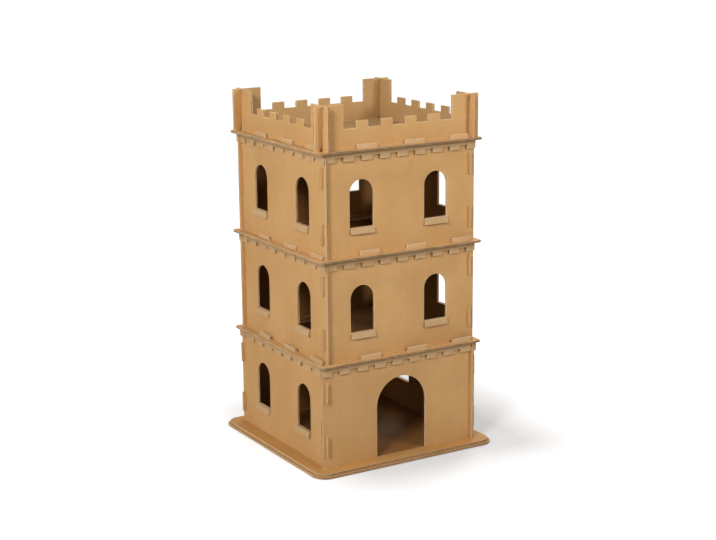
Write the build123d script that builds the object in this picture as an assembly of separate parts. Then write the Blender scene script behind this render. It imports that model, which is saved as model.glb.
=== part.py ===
from build123d import *
import os

# Cardboard castle, a play tower of three storeys slotted together from corrugated board.
# Sizes are in millimetres. +Z is up, the front with the door faces -Y, and the origin is
# at the middle of the base's underside.
# Every wall, frieze and parapet side is drawn as the front one and turned about Z.

# Board and the play that its tabs have in their slots
board = 7.0
fit_gap = 0.25

# Tower: width between the outer faces of opposite walls, and the height of one wall.
# The ground walls stand a little outside those above. They are taller, because they
# stand with their feet in the base.
tower_side = 500.0
ground_step = 6.0
wall_height = 301.0
ground_wall_height = 311.0

# Base: two sheets glued together, wider than the walls. The lower one shows as a ledge.
base_margin = 59.0
base_ledge = 7.0
base_corner_radius = 43.0

# Wall corners: one wall runs past the corner, the next one's tabs go through it
corner_overhang = 13.0
tab_length = 62.0
tab_proud = 11.0
lower_tab_height = 42.0
tab_frieze_gap = 11.0
ground_tab_frieze_gap = 18.0

# Feet of the ground walls, which stand in slots of the upper base sheet
foot_length = 90.0
foot_place_share = 0.36

# Windows and door
window_width = 78.0
window_height = 138.0
window_sill_height = 81.0
ground_sill_height = 91.0
window_place_share = 0.252
door_width = 169.0
door_height = 238.0
door_shift = -2.5

# Sill flap: the strip cut from the window, folded out and down over the wall
flap_height = 18.0
flap_spring = 1.5
fold_height = 4.0
fold_radius = 3.0

# Frieze: a toothed strip under each floor's rim, with tongues up through the floor
frieze_depth = 27.0
notch_width = 26.0
notch_depth = 12.5
notch_count = 8
notch_run_share = 0.892
upper_notch_shift = 9.0
ground_notch_shift = -14.0
tongue_count = 3
tongue_width = 68.0
tongue_height = 12.0
tongue_play = 4.0
tongue_pitch_share = 0.318

# Floors: the rim beyond the walls and the hatch that joins two storeys
floor_margin = 26.5
floor_corner_radius = 10.0
hatch_side = 190.0
hatch_corner_radius = 30.0
hatch_place_share = 0.22

# Parapet: four crenellated sides that cross at the corners with half laps
parapet_overhang = 26.5
turret_width = 94.0
turret_height = 128.0
merlon_height = 20.0
crenel_height = 58.0
merlon_count = 4
lap_gap = 1.0
lead_in_height = 18.0
lead_in_flare = 8.0

# Places that follow from the sizes
outer = tower_side / 2
inner = outer - board
ground_outer = outer + ground_step
foot_depth = board
storey_heights = {"ground": ground_wall_height, "middle": wall_height, "upper": wall_height}
storey_outers = {"ground": ground_outer, "middle": outer, "upper": outer}
side_names = ("front", "right", "back", "left")
quarter_turn = 360 / len(side_names)

# Where the last tongue of a floor's friezes ends: at the roof it keeps clear of the parapet
tongue_ends = {"ground": ground_outer - board - fit_gap, "middle": outer, "upper": inner - fit_gap}


def block(left, right, low, high):
    """A flat rectangle between two uprights and two levels."""
    return Pos((left + right) / 2, (low + high) / 2) * Rectangle(right - left, high - low)


def arch(width, height):
    """A round-headed opening that stands on its origin."""
    spring_level = height - width / 2
    return block(-width / 2, width / 2, 0, spring_level) + Pos(0, spring_level) * Circle(width / 2)


def upright_sheet(outline, outside):
    """One sheet of board parallel to the front, its outer face that far from the axis."""
    return extrude(Plane.XZ.offset(outside - board) * outline, board)


def level_sheet(outline, level):
    """One sheet of board lying flat, its underside at that level."""
    return extrude(Plane.XY.offset(level) * outline, board)


def turned(shape, side_index):
    """A shape of the front, turned to another side of the tower."""
    return Rot(0, 0, quarter_turn * side_index) * shape


def foot_centres():
    """Where the two feet of a ground wall stand, from the middle of the wall."""
    return [direction * foot_place_share * tower_side for direction in (-1, 1)]


def window_centres():
    """Where the two windows of a wall lie, from the middle of the wall."""
    return [direction * window_place_share * tower_side for direction in (-1, 1)]


def sill_flap(outside, centre, sill_height):
    """The folded strip below one window: it springs a little away from the wall."""
    profile = make_face(
        Polyline(
            (0, 0),
            (board, 0),
            (board + flap_spring, -flap_height),
            (flap_spring, -flap_height),
            (0, -fold_height),
            close=True,
        )
    )
    fold = profile.vertices().sort_by_distance((board, 0))[0]
    profile = fillet(fold, fold_radius)
    across_wall = Plane(origin=(centre, -outside, sill_height), x_dir=(0, -1, 0), z_dir=(-1, 0, 0))
    return extrude(across_wall * profile, window_width / 2, both=True)


def wall_outline(outside, height, frieze_gap):
    """A plain wall: tabs on its left end, and slots for the next wall's tabs on its right."""
    inside = outside - board
    outline = block(-inside, outside + corner_overhang, 0, height)
    for tab_top in (lower_tab_height + tab_length, height - frieze_depth - frieze_gap):
        tab_low = tab_top - tab_length
        outline += block(-outside - tab_proud, -inside, tab_low, tab_top)
        outline -= block(inside - fit_gap, outside + fit_gap, tab_low - fit_gap, tab_top + fit_gap)
    return outline


def windowed_wall(outline, outside, sill_height):
    """A wall sheet with two windows and the flaps folded out of them."""
    opening = arch(window_width, window_height)
    for centre in window_centres():
        outline -= Pos(centre, sill_height) * opening
    wall = upright_sheet(outline, outside)
    for centre in window_centres():
        wall += sill_flap(outside, centre, sill_height)
    return wall


def upper_wall(height):
    """A wall of the middle or the upper storey."""
    return windowed_wall(wall_outline(outer, height, tab_frieze_gap), outer, window_sill_height)


def ground_outline():
    """A ground wall: its lower edge is cut back to leave two feet."""
    outline = wall_outline(ground_outer, ground_wall_height, ground_tab_frieze_gap)
    outline -= block(-ground_outer - tab_proud, ground_outer + corner_overhang, 0, foot_depth)
    for centre in foot_centres():
        outline += block(centre - foot_length / 2, centre + foot_length / 2, 0, foot_depth)
    return outline


def ground_wall(side):
    """A ground wall, handed the other way from those above. The front one has the door."""
    if side == "front":
        doorway = Pos(door_shift, foot_depth) * arch(door_width, door_height)
        wall = upright_sheet(ground_outline() - doorway, ground_outer)
    else:
        wall = windowed_wall(ground_outline(), ground_outer, ground_sill_height)
    return mirror(wall, about=Plane.YZ)


def frieze(storey, left_end, right_end, notch_shift):
    """A toothed strip in front of a wall. Level 0 is the underside of the floor on top."""
    outline = block(left_end, right_end, -frieze_depth, 0)
    notch_run = notch_run_share * tower_side
    notch_pitch = (notch_run - notch_width) / (notch_count - 1)
    for index in range(notch_count):
        notch_left = notch_shift - notch_run / 2 + index * notch_pitch
        notch_right = notch_left + notch_width
        outline -= block(notch_left, notch_right, -frieze_depth, notch_depth - frieze_depth)
    for tongue_end in tongue_places(storey):
        outline += block(tongue_end - tongue_width, tongue_end, 0, board + tongue_height)
    return upright_sheet(outline, storey_outers[storey] + board)


def storey_frieze(storey):
    """A frieze: short of the wall that runs past one corner, flush with its wall at the other."""
    flush_end = storey_outers[storey] + corner_overhang
    short_end = storey_outers[storey] - board - fit_gap
    if storey == "ground":
        return frieze(storey, -flush_end, short_end, ground_notch_shift)
    return frieze(storey, -short_end, flush_end, upper_notch_shift)


def tongue_places(storey):
    """Where the right ends of a frieze's tongues lie: evenly spaced up to the last one."""
    pitch = tongue_pitch_share * tower_side
    return [tongue_ends[storey] - index * pitch for index in range(tongue_count)]


def rounded_square(side, corner_radius):
    """The outline of a base sheet or a floor."""
    return RectangleRounded(side, side, corner_radius)


def base_sheet_outline(ledge):
    """A base sheet, which lies that far inside the base's outline."""
    return rounded_square(tower_side + 2 * (base_margin - ledge), base_corner_radius - ledge)


def footed_base_outline():
    """The upper base sheet, slotted for the feet of the four ground walls."""
    outline = base_sheet_outline(base_ledge)
    half_slot = foot_length / 2 + fit_gap
    slot_low = -ground_outer - fit_gap
    slot_high = -ground_outer + board + fit_gap
    for side_index in range(len(side_names)):
        for centre in foot_centres():
            slot = block(centre - half_slot, centre + half_slot, slot_low, slot_high)
            outline -= turned(slot, side_index)
    return outline


def floor_outline(storey, hatch_x_side, hatch_y_side):
    """The floor on a storey, slotted for its friezes' tongues, with a hatch in one quarter."""
    outline = rounded_square(tower_side + 2 * floor_margin, floor_corner_radius)
    wall_face = -storey_outers[storey]
    for side_index in range(len(side_names)):
        for tongue_end in tongue_places(storey):
            left = tongue_end - tongue_width - fit_gap
            right = tongue_end + tongue_play
            slot = block(left, right, wall_face - board - fit_gap, wall_face + fit_gap)
            outline -= turned(slot, side_index)
    hatch_place = hatch_place_share * tower_side
    hatch = rounded_square(hatch_side, hatch_corner_radius)
    return outline - Pos(hatch_x_side * hatch_place, hatch_y_side * hatch_place) * hatch


def lap(mouth, closed_end):
    """The slot of a half lap, a little wide and flared at its mouth so that it slides on."""
    half_lap = board / 2 + lap_gap
    lead_in_end = mouth + lead_in_height if closed_end > mouth else mouth - lead_in_height
    return make_face(
        Polyline(
            (-half_lap - lead_in_flare, mouth),
            (half_lap + lead_in_flare, mouth),
            (half_lap, lead_in_end),
            (half_lap, closed_end),
            (-half_lap, closed_end),
            (-half_lap, lead_in_end),
            close=True,
        )
    )


def parapet(mouth, closed_end):
    """A crenellated side with a tall turret at each end, lapped from its mouth inwards."""
    end = outer + parapet_overhang
    outline = block(-end, end, 0, crenel_height)
    bay_count = 2 * merlon_count + 1
    bay = 2 * (end - turret_width) / bay_count
    for index in range(merlon_count):
        merlon_left = turret_width - end + (2 * index + 1) * bay
        outline += block(merlon_left, merlon_left + bay, 0, crenel_height + merlon_height)
    for direction in (-1, 1):
        turret_middle = direction * (end - turret_width / 2)
        outline += Pos(turret_middle, turret_height / 2) * Rectangle(turret_width, turret_height)
        outline -= Pos(direction * (inner + board / 2)) * lap(mouth, closed_end)
    return upright_sheet(outline, outer)


nodes = {}

nodes["base_lower_sheet"] = level_sheet(base_sheet_outline(0), 0)
nodes["base_upper_sheet"] = level_sheet(footed_base_outline(), board)

# Storeys, one above the other: walls, the friezes in front of their tops, and a floor on them
floor_hatches = {"first_floor": (-1, 1), "second_floor": (1, 1), "roof_floor": (-1, -1)}
level = board
for (storey, height), (floor, hatch_quarter) in zip(storey_heights.items(), floor_hatches.items()):
    top = Pos(0, 0, level + height)
    for side_index, side in enumerate(side_names):
        wall = ground_wall(side) if storey == "ground" else upper_wall(height)
        nodes[f"{storey}_{side}_wall"] = Pos(0, 0, level) * turned(wall, side_index)
        nodes[f"{storey}_{side}_frieze"] = top * turned(storey_frieze(storey), side_index)
    nodes[floor] = level_sheet(floor_outline(storey, *hatch_quarter), level + height)
    level += height + board

# Parapet: the front and back are slotted from below, the other two from above
half_height = turret_height / 2
for side_index, side in enumerate(side_names):
    if side in ("front", "back"):
        crenellation = parapet(0, half_height + fit_gap)
    else:
        crenellation = parapet(turret_height, half_height)
    nodes[f"{side}_parapet"] = Pos(0, 0, level) * turned(crenellation, side_index)

os.makedirs("parts", exist_ok=True)
for name, shape in nodes.items():
    export_step(shape, f"parts/{name}.step")
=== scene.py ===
import math
from collections import namedtuple

import bmesh
import bpy
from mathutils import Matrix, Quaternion, Vector


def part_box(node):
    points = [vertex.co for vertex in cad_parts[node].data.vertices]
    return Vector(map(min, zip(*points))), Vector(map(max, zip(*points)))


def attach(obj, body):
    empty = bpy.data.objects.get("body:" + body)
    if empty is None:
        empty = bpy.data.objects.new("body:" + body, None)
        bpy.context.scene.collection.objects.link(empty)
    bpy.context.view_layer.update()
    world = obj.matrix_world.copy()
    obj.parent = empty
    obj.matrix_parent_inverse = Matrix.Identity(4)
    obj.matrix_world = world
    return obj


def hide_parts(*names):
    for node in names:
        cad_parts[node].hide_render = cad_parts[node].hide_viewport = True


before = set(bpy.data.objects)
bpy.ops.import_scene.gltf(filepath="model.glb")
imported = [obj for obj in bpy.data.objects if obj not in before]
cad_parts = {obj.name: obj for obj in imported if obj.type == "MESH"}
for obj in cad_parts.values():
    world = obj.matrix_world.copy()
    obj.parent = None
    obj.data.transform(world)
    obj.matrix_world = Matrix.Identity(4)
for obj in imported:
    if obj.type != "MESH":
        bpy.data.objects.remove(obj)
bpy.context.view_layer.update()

# Cardboard castle: every CAD sheet is rebuilt as real corrugated board, in the CAD's own frame.
# A sheet is three paper liners with two waved flutings between them, cut to the outline of the
# CAD solid. Units are metres. +Z is up and the front with the door faces -Y.

MM = 0.001
DIGITS = 6
TOUCHING = 0.01 * MM

# Board: the liners and the flutings from the inner side of a sheet outwards. The base's lower
# sheet gives the thickness of them all and half the width of the tower's foot.
low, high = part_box("base_lower_sheet")
BOARD = high.z - low.z
BASE_HALF = high.y
LINER = 0.45 * MM
FLUTE_PAPER = 0.3 * MM
MIDDLE_SHARE = 0.56
COARSE_PITCH = 8.0 * MM
FINE_PITCH = 6.4 * MM
STEPS_PER_WAVE = 6

# Rooms: what lies within the walls' inner faces, a little wider in the ground storey. The liners
# there are given painted shade.
INTO_LINER = 0.5 * MM
ROOM_HALF = -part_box("middle_front_wall")[1].y + INTO_LINER
GROUND_ROOM_HALF = -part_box("ground_front_wall")[1].y + INTO_LINER
GROUND_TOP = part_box("first_floor")[1].z - 0.5 * BOARD
ROOM_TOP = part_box("roof_floor")[0].z + INTO_LINER

# Cut edges: the die leaves a little play all round, and crushes the outer liners in a narrow rim
CUT_PLAY = 0.5 * MM
RIM_WIDTH = 1.6 * MM
RIM_CRUSH = 0.45 * MM

# Sill flaps: the liner wraps over the sill with this rounding
FOLD_RADIUS = 3 * MM
FOLD_STEPS = 6
FOLD_LIFT = 0.2 * MM

# Shading: the angle from which an edge stays sharp, and the step that moves each sheet's grain
SHARP_ANGLE = math.radians(70)
GRAIN_SHIFT = 0.37

# Camera: a perspective fit to the photograph
IMAGE_WIDTH = 716
FOCAL_PIXELS = 1566.3
SENSOR = 36.0
CAMERA_FAR = 100.0
CAMERA_PLACE = Vector((-2.3825, -3.9853, 1.6265))
CAMERA_AZIMUTH = math.radians(-30.98)
CAMERA_ELEVATION = math.radians(13.381)
CAMERA_ROLL = math.radians(-0.519)

# Lamps: square soft boxes. Their power is in watts and their spread in degrees.
Lamp = namedtuple("Lamp", "name place target size power spread")
LAMPS = (
    Lamp("key", (-3.4, -2.5, 3.0), (0, 0, 0.8), 1.2, 14, 55),
    Lamp("side", (-3.9, -0.2, 1.4), (0, 0, 0.6), 2.0, 44, 180),
    Lamp("fill", (1.4, -3.0, 2.0), (0, -0.2, 0.9), 1.0, 6.9, 60),
    Lamp("back", (3.2, 3.0, 2.4), (0, 0, 0.7), 2.0, 14, 55),
    Lamp("top", (-1.4, -0.6, 4.4), (0, 0, 0), 2.4, 8, 180),
)

# Sky: white where the camera or a reflection sees it, and a dim light elsewhere
SKY_COLOUR = (1, 1, 1, 1)
SKY_LIGHT = 0.12
SKY_SEEN = 1.0

# Floor: a glow that only the camera sees makes it white. Near the base the glow falls from
# GLOW_FAR to GLOW_NEAR, between SHADE_FAR and SHADE_NEAR away from a box round SHADE_MIDDLE,
# which paints a shadow of the tower there.
FLOOR_REACH = 30.0
FLOOR_COLOUR = (0.62, 0.62, 0.62, 1)
FLOOR_GLOW_COLOUR = (1, 1, 1, 1)
SHADE_MIDDLE = (0.13, 0, 0)
SHADE_HALF = (0.23, BASE_HALF, 0)
SHADE_NEAR = 0.04
SHADE_FAR = 0.42
GLOW_NEAR = 0.28
GLOW_FAR = 1.0

# Kraft colours, linear
KRAFT = (0.58, 0.325, 0.125, 1)
KRAFT_PALE = (0.68, 0.42, 0.18, 1)
KRAFT_DEEP = (0.5, 0.265, 0.09, 1)
FIBRE_DARK = (0.25, 0.14, 0.06, 1)
CUT_PALE = (0.86, 0.6, 0.33, 1)
FLUTE_PALE = (0.78, 0.56, 0.33, 1)
FLUTE_TAN = (0.62, 0.42, 0.23, 1)

# Tints of the liners, over the kraft colours
PLAIN_TINT = (1, 1, 1, 1)
# Painted shade: the liners in the rooms are made darker and browner
ROOM_PAINTED_SHADE = (0.52, 0.42, 0.28, 1)
# Painted shade: the liners within the parapet are made darker and cooler
DECK_PAINTED_SHADE = (0.82, 0.88, 0.95, 1)
PALE_TINT = (0.97, 1.1, 1.4, 1)
# Painted shade and warm bounce light: the base is made darker and more orange
BASE_SHADE_AND_BOUNCE_TINT = (0.93, 0.84, 0.66, 1)
# Painted shade: the floors' and the base's cut edges are darkened for the shade in their flute
# hollows
FLOOR_CUT_PAINTED_SHADE = (0.74, 0.74, 0.76, 1)
BASE_CUT_PAINTED_SHADE = (0.6, 0.6, 0.64, 1)

# Stripes of the flutes: how far they darken a liner
FACE_STRIPES = 0.03
PALE_STRIPES = 0.14
BASE_STRIPES = 0.02

# Noises of the papers: scale, detail, roughness, and the stretch along wave, flute and height
CLOUDS = (9, 4, 0.6, (1, 0.5, 1))
MOTTLE = (70, 4, 0.6)
FIBRES = (900, 3, 0.6, (1, 0.12, 1))
SPECKS = (520, 2, 0.5, (1, 0.35, 1))
STREAKS = (95, 2, 0.5, (1, 0.04, 1))
CUT_FUZZ = (800, 3, 0.6)
CUT_PATCHES = (60, 3, 0.6)
PULP = (500, 4, 0.65)
FLUTE_PATCHES = (30, 3, 0.6)

# How the noises show: the span of the noise, and the least and the most that it comes to.
# EVENNESS is the share of plain kraft that calms the clouds.
CLOUDS_SHOW = (0.3, 0.7)
MOTTLE_SHOWS = (0.35, 0.7, 0, 0.14)
STREAKS_SHOW = (0.4, 0.7, 0, 0.06)
FIBRES_SHOW = (0.45, 0.75, 0, 0.22)
SPECKS_SHOW = (0.68, 0.76, 0, 0.5)
WEAR_SHOWS = (0.3, 0.6, 0.35, 0.9)
FUZZ_SHOWS = (0.35, 0.7)
CUT_PATCHES_SHOW = (0.4, 0.7, 0, 0.4)
PULP_SHOWS = (0.3, 0.7)
FLUTE_PATCHES_SHOW = (0.4, 0.7, 0, 0.15)
EVENNESS = 0.62

# Surfaces: how rough and glossy the papers are, and how deep their relief is
FACE_ROUGHNESS = (0.3, 0.7, 0.72, 0.88)
CUT_ROUGHNESS = 0.9
FLUTE_ROUGHNESS = 0.92
FACE_GLOSS = 0.3
CUT_GLOSS = 0.2
FLUTE_GLOSS = 0.2
WASHBOARD_SHARE = 0.5
FACE_RELIEF = 0.05 * MM
CUT_RELIEF = 0.1 * MM
FLUTE_RELIEF = 0.08 * MM

# Nodes: the colour sockets of a Mix node, and how nodes are laid out in the editor
MIX_FIRST, MIX_SECOND, MIX_RESULT = 6, 7, 2
NODES_PER_ROW = 8
NODE_WIDTH = 220
NODE_HEIGHT = 260

# Sides of the tower: the axis that points out of each, and its sign
Sheet = namedtuple("Sheet", "normal wave flute inner outward")
OUTWARD = {"front": (1, -1), "right": (0, 1), "back": (1, 1), "left": (0, -1)}


def sheet_of(node):
    """How a CAD sheet lies: the axes across it, along its waves and along its flutes."""
    low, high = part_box(node)
    for side, (normal, outward) in OUTWARD.items():
        if side in node.split("_"):
            inner = low[normal] if outward > 0 else high[normal]
            return Sheet(normal, 1 - normal, 2, inner, outward)
    return Sheet(2, 0, 1, high.z, -1)


def inner_triangles(node, sheet):
    """The CAD triangles of a sheet's inner face, as points along the waves and the flutes."""
    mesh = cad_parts[node].data
    triangles = []
    for polygon in mesh.polygons:
        corners = [mesh.vertices[index].co for index in polygon.vertices]
        if all(abs(corner[sheet.normal] - sheet.inner) < TOUCHING for corner in corners):
            triangles.append(
                [
                    (round(corner[sheet.wave], DIGITS), round(corner[sheet.flute], DIGITS))
                    for corner in corners
                ]
            )
    return triangles


def filled_plan(triangles):
    """A mesh of some triangles, and its points by their place."""
    plan = bmesh.new()
    vertices = {}
    for triangle in triangles:
        for point in triangle:
            if point not in vertices:
                vertices[point] = plan.verts.new((*point, 0))
        plan.faces.new([vertices[point] for point in triangle])
    bmesh.ops.recalc_face_normals(plan, faces=plan.faces)
    return plan, vertices


def trimmed(triangles):
    """The same outline, drawn in by the play of the cut."""
    plan, _ = filled_plan(triangles)
    ring = bmesh.ops.inset_region(
        plan, faces=plan.faces, thickness=CUT_PLAY, use_even_offset=True, use_boundary=True
    )["faces"]
    bmesh.ops.delete(plan, geom=ring, context="FACES")
    bmesh.ops.triangulate(plan, faces=plan.faces)
    found = [
        [(round(vertex.co.x, DIGITS), round(vertex.co.y, DIGITS)) for vertex in face.verts]
        for face in plan.faces
    ]
    plan.free()
    return found


def outline_edges(triangles):
    """The edges that only one triangle has."""
    counts = {}
    for triangle in triangles:
        for start, end in zip(triangle, triangle[1:] + triangle[:1]):
            edge = (min(start, end), max(start, end))
            counts[edge] = counts.get(edge, 0) + 1
    return [edge for edge, count in counts.items() if count == 1]


class Layers:
    """The paper layers of one sheet: points as (wave, flute, height over the inner face)."""

    def __init__(self):
        self.points = []
        self.faces = []
        self.slots = []
        self.smooth = []
        self.rim = []

    def add_shell(self, plan, plan_faces, lower, upper, rim, slots, smooth=False):
        """Closes one layer between two heights, given for each point of its plan."""
        first = len(self.points)
        count = len(plan)
        self.points += [(w, f, h) for (w, f), h in zip(plan, lower)]
        self.points += [(w, f, h) for (w, f), h in zip(plan, upper)]
        self.rim += list(rim) * 2
        lower_slot, upper_slot, cut_slot = slots
        borders = {}
        for face in plan_faces:
            self.add_face([first + i for i in reversed(face)], lower_slot, smooth)
            self.add_face([first + count + i for i in face], upper_slot, smooth)
            for start, end in zip(face, face[1:] + face[:1]):
                if borders.pop((end, start), None) is None:
                    borders[(start, end)] = True
        for start, end in borders:
            side = [first + start, first + end, first + count + end, first + count + start]
            self.add_face(side, cut_slot, False)

    def add_face(self, corners, slot, smooth):
        self.faces.append(corners)
        self.slots.append(slot)
        self.smooth.append(smooth)


def ringed_plan(triangles):
    """The plan of a liner: a narrow rim along each cut edge, and the rest filled in."""
    plan, vertices = filled_plan(triangles)
    ring = bmesh.ops.inset_region(
        plan, faces=plan.faces, thickness=RIM_WIDTH, use_even_offset=True, use_boundary=True
    )["faces"]
    inside = [face for face in plan.faces if face not in set(ring)]
    bmesh.ops.delete(plan, geom=inside, context="FACES")

    def on_outline(vertex):
        return tuple(round(c, DIGITS) for c in vertex.co.xy) in vertices

    inner_loops = [
        edge for edge in plan.edges if edge.is_boundary and not any(map(on_outline, edge.verts))
    ]
    bmesh.ops.triangle_fill(plan, use_beauty=True, use_dissolve=False, edges=inner_loops)
    bmesh.ops.recalc_face_normals(plan, faces=plan.faces)
    if sum(face.normal.z * face.calc_area() for face in plan.faces) < 0:
        bmesh.ops.reverse_faces(plan, faces=plan.faces)
    plan.verts.index_update()
    points = [(vertex.co.x, vertex.co.y) for vertex in plan.verts]
    rim = [1.0 if vertex.is_boundary else 0.0 for vertex in plan.verts]
    faces = [[vertex.index for vertex in face.verts] for face in plan.faces]
    plan.free()
    return points, faces, rim


def columns_between(edges, lines):
    """The inside of an outline between each two neighbouring lines, as (bottom, top) pairs."""
    place = {line: index for index, line in enumerate(lines)}
    crossing = [[] for _ in lines[1:]]
    for (start_wave, start_flute), (end_wave, end_flute) in edges:
        if start_wave == end_wave:
            continue
        slope = (end_flute - start_flute) / (end_wave - start_wave)
        for index in range(place[start_wave], place[end_wave]):
            at_left = start_flute + slope * (lines[index] - start_wave)
            at_right = start_flute + slope * (lines[index + 1] - start_wave)
            crossing[index].append((round(at_left, DIGITS), round(at_right, DIGITS)))
    columns = []
    for sides in crossing:
        sides.sort(key=sum)
        columns.append(list(zip(sides[::2], sides[1::2])))
    return columns


def waved_plan(edges, pitch):
    """The plan of a fluting, cut along enough lines for each of its waves."""
    step = pitch / STEPS_PER_WAVE
    marks = {point[0] for edge in edges for point in edge}
    first, last = min(marks), max(marks)
    steps = range(math.ceil(first / step), math.floor(last / step) + 1)
    lines = sorted(marks | {round(index * step, DIGITS) for index in steps})
    columns = columns_between(edges, lines)
    on_line = [set() for _ in lines]
    for index, pairs in enumerate(columns):
        for bottom, top in pairs:
            on_line[index].update((bottom[0], top[0]))
            on_line[index + 1].update((bottom[1], top[1]))
    points, numbers, faces = [], {}, []

    def corners(index, start, end):
        """The points on one line from start to end, the ones of its neighbours included."""
        flutes = [flute for flute in sorted(on_line[index]) if start <= flute <= end]
        found = []
        for flute in flutes:
            key = (lines[index], flute)
            if key not in numbers:
                numbers[key] = len(points)
                points.append(key)
            found.append(numbers[key])
        return found

    for index, pairs in enumerate(columns):
        for bottom, top in pairs:
            left = corners(index, bottom[0], top[0])
            right = corners(index + 1, bottom[1], top[1])
            faces.append(left[:1] + right + left[:0:-1])
    return points, [face for face in faces if len(face) > 2]


def add_fluting(layers, edges, pitch, floor, ceiling, tilt=None):
    """One waved paper between two liners."""
    plan, faces = waved_plan(edges, pitch)
    middle = (floor + ceiling) / 2
    swing = (ceiling - floor - FLUTE_PAPER) / 2
    rise = [middle + swing * math.sin(math.tau * wave / pitch) for wave, flute in plan]
    if tilt:
        rise = [height + tilt(flute) for height, (wave, flute) in zip(rise, plan)]
    lower = [height - FLUTE_PAPER / 2 for height in rise]
    upper = [height + FLUTE_PAPER / 2 for height in rise]
    flat = [0.0] * len(plan)
    layers.add_shell(plan, faces, lower, upper, flat, ("flute", "flute", "flute"), True)


def add_board(layers, triangles, inner_slot, outer_slot, cut_slot):
    """A flat sheet of board: two outer liners with crushed rims, a middle liner, two flutings."""
    edges = outline_edges(triangles)
    plan, faces, rim = ringed_plan(triangles)
    middle = BOARD * MIDDLE_SHARE
    flat = [0.0] * len(plan)
    crush = [RIM_CRUSH * share for share in rim]
    layers.add_shell(
        plan, faces, crush, [LINER + drop for drop in crush], rim, (inner_slot, "flute", cut_slot)
    )
    layers.add_shell(
        plan,
        faces,
        [BOARD - LINER - drop for drop in crush],
        [BOARD - drop for drop in crush],
        rim,
        ("flute", outer_slot, cut_slot),
    )
    layers.add_shell(
        plan,
        faces,
        [middle - LINER / 2] * len(plan),
        [middle + LINER / 2] * len(plan),
        flat,
        ("flute", "flute", cut_slot),
    )
    add_fluting(layers, edges, COARSE_PITCH, LINER, middle - LINER / 2)
    add_fluting(layers, edges, FINE_PITCH, middle + LINER / 2, BOARD - LINER)


def flap_boxes(node, sheet):
    """Where a wall's sill flaps lie: (left, right, bottom, top, how far out at the bottom)."""
    outer = [
        vertex.co
        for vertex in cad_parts[node].data.vertices
        if sheet.outward * (vertex.co[sheet.normal] - sheet.inner) > BOARD + TOUCHING
    ]
    boxes = []
    for half in (-1, 1):
        own = [co for co in outer if co[sheet.wave] * half > 0]
        if own:
            waves = [co[sheet.wave] for co in own]
            flutes = [co[sheet.flute] for co in own]
            reach = max(sheet.outward * (co[sheet.normal] - sheet.inner) for co in own)
            boxes.append((min(waves), max(waves), min(flutes), max(flutes), reach))
    return boxes


def add_flap(layers, left, right, bottom, top, reach):
    """A sill flap, folded out of the window: one liner wraps over the sill and down its front."""
    spring = reach - 2 * BOARD
    height = top - bottom

    def tilt(flute):
        return BOARD + spring * (top - flute) / height

    corners = [(left, bottom), (right, bottom), (right, top - LINER), (left, top - LINER)]
    corners = [(round(wave, DIGITS), round(flute, DIGITS)) for wave, flute in corners]
    edges = [
        (min(start, end), max(start, end)) for start, end in zip(corners, corners[1:] + corners[:1])
    ]

    # The flap is the same board turned over, so its fine fluting comes first
    middle = BOARD * (1 - MIDDLE_SHARE)
    for floor in (0, middle - LINER / 2):
        lower = [tilt(flute) + floor for wave, flute in corners]
        upper = [height + LINER for height in lower]
        layers.add_shell(
            corners, [[0, 1, 2, 3]], lower, upper, [0.0] * 4, ("flute", "flute", "cut")
        )
    add_fluting(layers, edges, FINE_PITCH, LINER, middle - LINER / 2, tilt)
    add_fluting(layers, edges, COARSE_PITCH, middle + LINER / 2, BOARD - LINER, tilt)

    # The wrapping liner, as a path of (height over the wall's inner face, flute)
    path = [(0.0, top + FOLD_LIFT)]
    for step in range(FOLD_STEPS + 1):
        turn = math.pi / 2 * step / FOLD_STEPS
        path.append(
            (
                2 * BOARD - FOLD_RADIUS + FOLD_RADIUS * math.sin(turn),
                top + FOLD_LIFT - FOLD_RADIUS + FOLD_RADIUS * math.cos(turn),
            )
        )
    path.append((reach, bottom))
    across = [left, left + RIM_WIDTH, right - RIM_WIDTH, right]
    add_wrap(layers, path, across)


def add_wrap(layers, path, across):
    """A liner bent along a path: its outer side, its inner side and the cut all round."""
    inner_path = []
    for index, (height, flute) in enumerate(path):
        before = path[max(index - 1, 0)]
        after = path[min(index + 1, len(path) - 1)]
        run, rise = after[0] - before[0], after[1] - before[1]
        length = math.hypot(run, rise)
        inner_path.append((height + LINER * rise / length, flute - LINER * run / length))
    first = len(layers.points)
    for row in (path, inner_path):
        for height, flute in row:
            for column, wave in enumerate(across):
                layers.points.append((wave, flute, height))
                layers.rim.append(1.0 if column in (0, len(across) - 1) else 0.0)
    width, rows = len(across), len(path)

    def number(side, row, column):
        return first + (side * rows + row) * width + column

    for row in range(rows - 1):
        for column in range(width - 1):
            quad = [(row, column), (row, column + 1), (row + 1, column + 1), (row + 1, column)]
            layers.add_face([number(0, *corner) for corner in quad], "pale", True)
            layers.add_face([number(1, *corner) for corner in reversed(quad)], "flute", True)
        for column in (0, width - 1):
            quad = [number(0, row, column), number(0, row + 1, column)]
            quad += [number(1, row + 1, column), number(1, row, column)]
            layers.add_face(quad, "cut", False)
    for row in (0, rows - 1):
        for column in range(width - 1):
            quad = [number(0, row, column), number(0, row, column + 1)]
            quad += [number(1, row, column + 1), number(1, row, column)]
            layers.add_face(quad, "cut", False)


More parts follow.
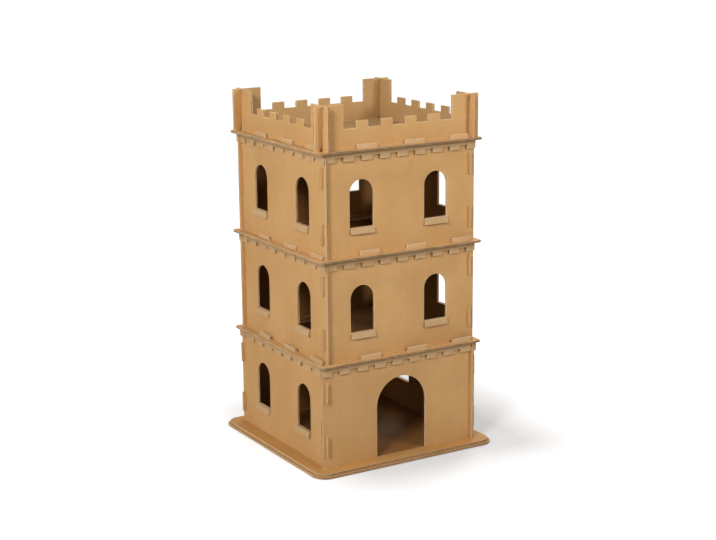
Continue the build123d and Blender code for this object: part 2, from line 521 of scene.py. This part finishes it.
class Recipe:
    """Builds a node material line by line."""

    def __init__(self, name):
        self.material = bpy.data.materials.new(name)
        self.material.use_nodes = True
        self.tree = self.material.node_tree
        self.shader = self.tree.nodes["Principled BSDF"]
        self.count = 0

    def node(self, kind, inputs=(), **settings):
        made = self.tree.nodes.new(kind)
        row, column = divmod(self.count, NODES_PER_ROW)
        made.location = (-NODE_WIDTH * (1 + column), -NODE_HEIGHT * row)
        self.count += 1
        for name, value in settings.items():
            setattr(made, name, value)
        for name, value in dict(inputs).items():
            self.set(made, name, value)
        return made

    def set(self, node, name, value):
        """Links a socket into an input, or writes a plain value there."""
        socket = node.inputs[name]
        if isinstance(value, bpy.types.NodeSocket):
            self.tree.links.new(value, socket)
        else:
            socket.default_value = value

    def math(self, operation, first, second=0.0, clamp=False):
        made = self.node("ShaderNodeMath", operation=operation, use_clamp=clamp)
        self.set(made, 0, first)
        self.set(made, 1, second)
        return made.outputs[0]

    def vector(self, operation, first, second=(0, 0, 0)):
        made = self.node("ShaderNodeVectorMath", operation=operation)
        self.set(made, 0, first)
        self.set(made, 1, second)
        return made.outputs

    def ramp(self, value, low, high, to_low=0.0, to_high=1.0):
        made = self.node(
            "ShaderNodeMapRange",
            {
                "Value": value,
                "From Min": low,
                "From Max": high,
                "To Min": to_low,
                "To Max": to_high,
            },
        )
        return made.outputs["Result"]

    def noise(self, place, scale, detail, roughness, stretch=(1, 1, 1)):
        mapped = self.node("ShaderNodeMapping", {"Vector": place, "Scale": stretch})
        made = self.node(
            "ShaderNodeTexNoise",
            {
                "Vector": mapped.outputs["Vector"],
                "Scale": scale,
                "Detail": detail,
                "Roughness": roughness,
            },
        )
        return made.outputs["Fac"]

    def mix(self, share, first, second, blend="MIX"):
        made = self.node("ShaderNodeMix", data_type="RGBA", blend_type=blend)
        self.set(made, 0, share)
        self.set(made, MIX_FIRST, first)
        self.set(made, MIX_SECOND, second)
        return made.outputs[MIX_RESULT]

    def within_walls(self):
        """Masks of where shade is painted: one in the rooms and one within the parapet, and nought
        elsewhere.
        """
        place = self.node("ShaderNodeNewGeometry").outputs["Position"]
        split = self.node("ShaderNodeSeparateXYZ", {"Vector": place}).outputs
        aside = self.math(
            "MAXIMUM", self.math("ABSOLUTE", split["X"]), self.math("ABSOLUTE", split["Y"])
        )
        upstairs = self.math("LESS_THAN", aside, ROOM_HALF)
        downstairs = self.math("LESS_THAN", aside, GROUND_ROOM_HALF)
        ground = self.math("LESS_THAN", split["Z"], GROUND_TOP)
        below = self.math("LESS_THAN", split["Z"], ROOM_TOP)
        within = self.math("MAXIMUM", upstairs, self.math("MULTIPLY", downstairs, ground))
        rooms = self.math("MULTIPLY", within, below)
        return rooms, self.math("SUBTRACT", upstairs, rooms, clamp=True)

    def bump(self, height, distance):
        made = self.node(
            "ShaderNodeBump", {"Height": height, "Distance": distance, "Strength": 1.0}
        )
        return made.outputs["Normal"]


def face_material(name, tint, stripes):
    """The open side of a liner: fibres, stripes over the flutes, worn rims, and painted shade in
    the rooms and within the parapet.
    """
    recipe = Recipe(name)
    place = recipe.node("ShaderNodeAttribute", attribute_name="sheet_place").outputs["Vector"]
    rim = recipe.node("ShaderNodeAttribute", attribute_name="rim").outputs["Fac"]
    clouds = recipe.noise(place, *CLOUDS)
    mottle = recipe.noise(place, *MOTTLE)
    fibres = recipe.noise(place, *FIBRES)
    specks = recipe.noise(place, *SPECKS)
    split = recipe.node("ShaderNodeSeparateXYZ", {"Vector": place}).outputs
    along = recipe.math("MULTIPLY", split["X"], math.tau / COARSE_PITCH)
    washboard = recipe.math("SINE", along)
    streaks = recipe.noise(place, *STREAKS)
    colour = recipe.mix(recipe.ramp(clouds, *CLOUDS_SHOW), KRAFT_DEEP, KRAFT_PALE)
    colour = recipe.mix(EVENNESS, colour, KRAFT)
    colour = recipe.mix(recipe.ramp(mottle, *MOTTLE_SHOWS), colour, KRAFT_PALE)
    colour = recipe.mix(recipe.ramp(streaks, *STREAKS_SHOW), colour, KRAFT_DEEP)
    colour = recipe.mix(recipe.ramp(washboard, -1, 1, 0, stripes), colour, FIBRE_DARK)
    colour = recipe.mix(recipe.ramp(fibres, *FIBRES_SHOW), colour, KRAFT_DEEP)
    colour = recipe.mix(recipe.ramp(specks, *SPECKS_SHOW), colour, FIBRE_DARK)
    # The tint is plain or pale kraft, but on the base it is painted shade and warm bounce light
    colour = recipe.mix(1.0, colour, tint, "MULTIPLY")
    rooms, deck = recipe.within_walls()
    # Painted shade in the rooms
    colour = recipe.mix(rooms, colour, ROOM_PAINTED_SHADE, "MULTIPLY")
    # Painted shade within the parapet
    colour = recipe.mix(deck, colour, DECK_PAINTED_SHADE, "MULTIPLY")
    worn = recipe.math("MULTIPLY", rim, recipe.ramp(mottle, *WEAR_SHOWS))
    colour = recipe.mix(worn, colour, CUT_PALE)
    recipe.set(recipe.shader, "Base Color", colour)
    recipe.set(recipe.shader, "Roughness", recipe.ramp(fibres, *FACE_ROUGHNESS))
    recipe.set(recipe.shader, "Specular IOR Level", FACE_GLOSS)
    height = recipe.math("ADD", recipe.math("MULTIPLY", washboard, WASHBOARD_SHARE), fibres)
    recipe.set(recipe.shader, "Normal", recipe.bump(height, FACE_RELIEF))
    return recipe.material


def cut_material(name, tint):
    """The paper's own edge, where the die has cut it: paler and fuzzy."""
    recipe = Recipe(name)
    place = recipe.node("ShaderNodeNewGeometry").outputs["Position"]
    fuzz = recipe.noise(place, *CUT_FUZZ)
    patches = recipe.noise(place, *CUT_PATCHES)
    colour = recipe.mix(recipe.ramp(fuzz, *FUZZ_SHOWS), CUT_PALE, KRAFT)
    colour = recipe.mix(recipe.ramp(patches, *CUT_PATCHES_SHOW), colour, KRAFT_DEEP)
    # On the floors and the base the tint is painted shade of the flute hollows
    colour = recipe.mix(1.0, colour, tint, "MULTIPLY")
    recipe.set(recipe.shader, "Base Color", colour)
    recipe.set(recipe.shader, "Roughness", CUT_ROUGHNESS)
    recipe.set(recipe.shader, "Specular IOR Level", CUT_GLOSS)
    recipe.set(recipe.shader, "Normal", recipe.bump(fuzz, CUT_RELIEF))
    return recipe.material


def flute_material():
    """The rougher, paler paper inside the board."""
    recipe = Recipe("kraft_flute")
    place = recipe.node("ShaderNodeNewGeometry").outputs["Position"]
    pulp = recipe.noise(place, *PULP)
    patches = recipe.noise(place, *FLUTE_PATCHES)
    colour = recipe.mix(recipe.ramp(pulp, *PULP_SHOWS), FLUTE_PALE, FLUTE_TAN)
    colour = recipe.mix(recipe.ramp(patches, *FLUTE_PATCHES_SHOW), colour, FIBRE_DARK)
    recipe.set(recipe.shader, "Base Color", colour)
    recipe.set(recipe.shader, "Roughness", FLUTE_ROUGHNESS)
    recipe.set(recipe.shader, "Specular IOR Level", FLUTE_GLOSS)
    recipe.set(recipe.shader, "Normal", recipe.bump(pulp, FLUTE_RELIEF))
    return recipe.material


# The friezes and the sill flaps show the paler, striped back of the board
MATERIALS = {
    "face": face_material("kraft_face", PLAIN_TINT, FACE_STRIPES),
    "pale": face_material("kraft_pale", PALE_TINT, PALE_STRIPES),
    # The base's tint is painted shade and warm bounce light
    "base": face_material("kraft_base", BASE_SHADE_AND_BOUNCE_TINT, BASE_STRIPES),
    "cut": cut_material("kraft_cut", PLAIN_TINT),
    # The floors' and the base's cut tints are painted shade
    "floor_cut": cut_material("kraft_floor_cut_painted_shade", FLOOR_CUT_PAINTED_SHADE),
    "base_cut": cut_material("kraft_base_cut_painted_shade", BASE_CUT_PAINTED_SHADE),
    "flute": flute_material(),
}


def papers(node):
    """What a sheet shows on its inner side, on its outer side and on its cut edges."""
    if node.startswith("base"):
        return "base", "base", "base_cut"
    if node.endswith("_floor"):
        return "face", "face", "floor_cut"
    if node.endswith("_frieze"):
        return "face", "pale", "cut"
    return "face", "face", "cut"


def build_piece(node):
    """Dresses one CAD node: the board itself, and the flaps folded out of it."""
    sheet = sheet_of(node)
    layers = Layers()
    add_board(layers, trimmed(inner_triangles(node, sheet)), *papers(node))
    for flap in flap_boxes(node, sheet):
        add_flap(layers, *flap)
    vertices = []
    for wave, flute, height in layers.points:
        place = [0.0, 0.0, 0.0]
        place[sheet.wave] = wave
        place[sheet.flute] = flute
        place[sheet.normal] = sheet.inner + sheet.outward * height
        vertices.append(place)
    mesh = bpy.data.meshes.new(f"{node}_board")
    mesh.from_pydata(vertices, [], layers.faces)
    for material in MATERIALS.values():
        mesh.materials.append(material)
    slot_numbers = {name: index for index, name in enumerate(MATERIALS)}
    mesh.polygons.foreach_set("material_index", [slot_numbers[slot] for slot in layers.slots])
    mesh.polygons.foreach_set("use_smooth", layers.smooth)
    rim = mesh.attributes.new("rim", "FLOAT", "POINT")
    rim.data.foreach_set("value", layers.rim)
    place = mesh.attributes.new("sheet_place", "FLOAT_VECTOR", "POINT")
    shift = sum(ord(letter) for letter in node) * GRAIN_SHIFT
    flat = [c for wave, flute, height in layers.points for c in (wave, flute, height + shift)]
    place.data.foreach_set("vector", flat)
    outside = bmesh.new()
    outside.from_mesh(mesh)
    bmesh.ops.recalc_face_normals(outside, faces=outside.faces)
    outside.to_mesh(mesh)
    outside.free()
    mesh.set_sharp_from_angle(angle=SHARP_ANGLE)
    mesh.validate()
    piece = bpy.data.objects.new(f"{node}_board", mesh)
    bpy.context.scene.collection.objects.link(piece)
    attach(piece, "root")
    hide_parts(node)


for node in sorted(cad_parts):
    build_piece(node)


def build_floor():
    """A plain pale floor, white to the camera, with the castle's shadow beside the base partly cast
    and partly painted.
    """
    mesh = bpy.data.meshes.new("floor")
    reach = FLOOR_REACH
    mesh.from_pydata(
        [(-reach, -reach, 0), (reach, -reach, 0), (reach, reach, 0), (-reach, reach, 0)],
        [],
        [(0, 1, 2, 3)],
    )
    floor = bpy.data.objects.new("floor", mesh)
    bpy.context.scene.collection.objects.link(floor)
    recipe = Recipe("floor")
    place = recipe.node("ShaderNodeNewGeometry").outputs["Position"]
    offset = recipe.vector("SUBTRACT", place, SHADE_MIDDLE)["Vector"]
    offset = recipe.vector("ABSOLUTE", offset)["Vector"]
    offset = recipe.vector("SUBTRACT", offset, SHADE_HALF)["Vector"]
    offset = recipe.vector("MAXIMUM", offset)["Vector"]
    away = recipe.vector("LENGTH", offset)["Value"]
    seen = recipe.node("ShaderNodeLightPath").outputs["Is Camera Ray"]
    # Painted shadow: the glow fades near the base
    white = recipe.ramp(away, SHADE_NEAR, SHADE_FAR, GLOW_NEAR, GLOW_FAR)
    recipe.set(recipe.shader, "Base Color", FLOOR_COLOUR)
    recipe.set(recipe.shader, "Roughness", 1.0)
    recipe.set(recipe.shader, "Specular IOR Level", 0.0)
    recipe.set(recipe.shader, "Emission Color", FLOOR_GLOW_COLOUR)
    recipe.set(recipe.shader, "Emission Strength", recipe.math("MULTIPLY", seen, white))
    mesh.materials.append(recipe.material)


def build_world():
    """A white sky whose light on the tower is dim."""
    world = bpy.data.worlds.new("studio")
    bpy.context.scene.world = world
    world.use_nodes = True
    tree = world.node_tree
    background = tree.nodes["Background"]
    background.inputs["Color"].default_value = SKY_COLOUR
    rays = tree.nodes.new("ShaderNodeLightPath")
    seen = tree.nodes.new("ShaderNodeMath")
    seen.operation = "MAXIMUM"
    tree.links.new(rays.outputs["Is Camera Ray"], seen.inputs[0])
    tree.links.new(rays.outputs["Is Glossy Ray"], seen.inputs[1])
    strength = tree.nodes.new("ShaderNodeMapRange")
    strength.inputs["To Min"].default_value = SKY_LIGHT
    strength.inputs["To Max"].default_value = SKY_SEEN
    tree.links.new(seen.outputs[0], strength.inputs["Value"])
    tree.links.new(strength.outputs["Result"], background.inputs["Strength"])


def build_lamp(lamp):
    """A square soft box at one place that is turned to another."""
    data = bpy.data.lights.new(lamp.name, "AREA")
    data.shape = "SQUARE"
    data.size = lamp.size
    data.energy = lamp.power
    data.spread = math.radians(lamp.spread)
    made = bpy.data.objects.new(lamp.name, data)
    made.location = lamp.place
    aim = Vector(lamp.target) - Vector(lamp.place)
    made.rotation_euler = aim.to_track_quat("-Z", "Y").to_euler()
    bpy.context.scene.collection.objects.link(made)


def build_camera():
    """The photograph's own view."""
    data = bpy.data.cameras.new("camera")
    data.sensor_width = SENSOR
    data.lens = FOCAL_PIXELS * SENSOR / IMAGE_WIDTH
    data.clip_end = CAMERA_FAR
    camera = bpy.data.objects.new("camera", data)
    camera.location = CAMERA_PLACE
    back = Vector(
        (
            math.sin(CAMERA_AZIMUTH) * math.cos(CAMERA_ELEVATION),
            -math.cos(CAMERA_AZIMUTH) * math.cos(CAMERA_ELEVATION),
            math.sin(CAMERA_ELEVATION),
        )
    )
    camera.rotation_mode = "QUATERNION"
    camera.rotation_quaternion = (-back).to_track_quat("-Z", "Y") @ Quaternion(
        (0, 0, 1), CAMERA_ROLL
    )
    bpy.context.scene.collection.objects.link(camera)
    bpy.context.scene.camera = camera


build_floor()
build_world()
for lamp in LAMPS:
    build_lamp(lamp)
build_camera()
bpy.context.scene.view_settings.view_transform = "Standard"

bpy.context.view_layer.update()
